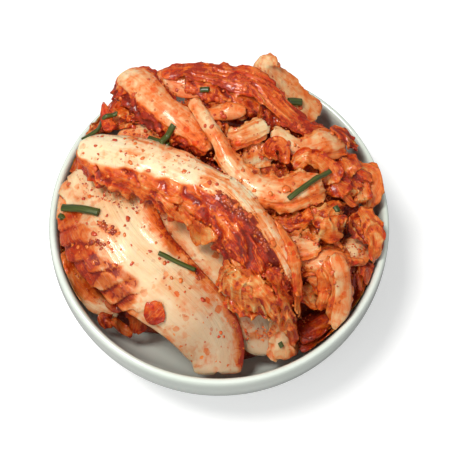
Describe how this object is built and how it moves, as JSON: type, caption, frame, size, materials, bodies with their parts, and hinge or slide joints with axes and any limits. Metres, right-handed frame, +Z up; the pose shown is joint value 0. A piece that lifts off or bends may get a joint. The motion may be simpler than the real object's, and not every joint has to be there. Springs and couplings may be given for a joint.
{
  "type": "bowl of kimchi",
  "caption": "Small pale glazed bowl heaped with folded napa cabbage kimchi: thick creamy midribs, frilled red-orange leaf, chilli flakes and chive pieces.",
  "frame": {"origin": "on the table under the bowl's axis, the middle of the ring it stands on", "axes": "+Z up along the bowl's axis; -Y towards the diner; +X to the diner's right"},
  "size_m": [0.1626, 0.1626, 0.0952],
  "materials": {
    "bowl_glaze": "glossy pale celadon-white glaze",
    "mixed_leaf": null,
    "white_midrib": null,
    "stained_leaf": null,
    "red_leaf": null,
    "chilli": null,
    "chive": null
  },
  "bodies": {
    "root": {"bowl": "bowl_glaze", "leaf_core": "mixed_leaf", "leaf_under": "white_midrib", "big_leaf": "white_midrib", "top_leaf": "white_midrib", "left_rolled_leaf": "white_midrib", "ridged_rib": "white_midrib", "standing_rib": "white_midrib", "left_pale_piece": "white_midrib", "wall_strip": "stained_leaf", "far_right_leaf": "stained_leaf", "rim_curl": "stained_leaf", "lower_right_leaf": "stained_leaf", "hanging_fold": "stained_leaf", "right_band": "stained_leaf", "small_loop": "stained_leaf", "curved_band": "stained_leaf", "brown_flap": "stained_leaf", "red_fold": "red_leaf", "low_fold": "red_leaf", "right_tuft": "red_leaf", "right_leaf": "red_leaf", "right_back_leaf": "red_leaf", "back_left_piece": "red_leaf", "back_mid_leaf": "red_leaf", "back_arc_leaf": "red_leaf", "chilli_tip": "chilli", "chilli_lump": "chilli"}
  },
  "joints": []
}
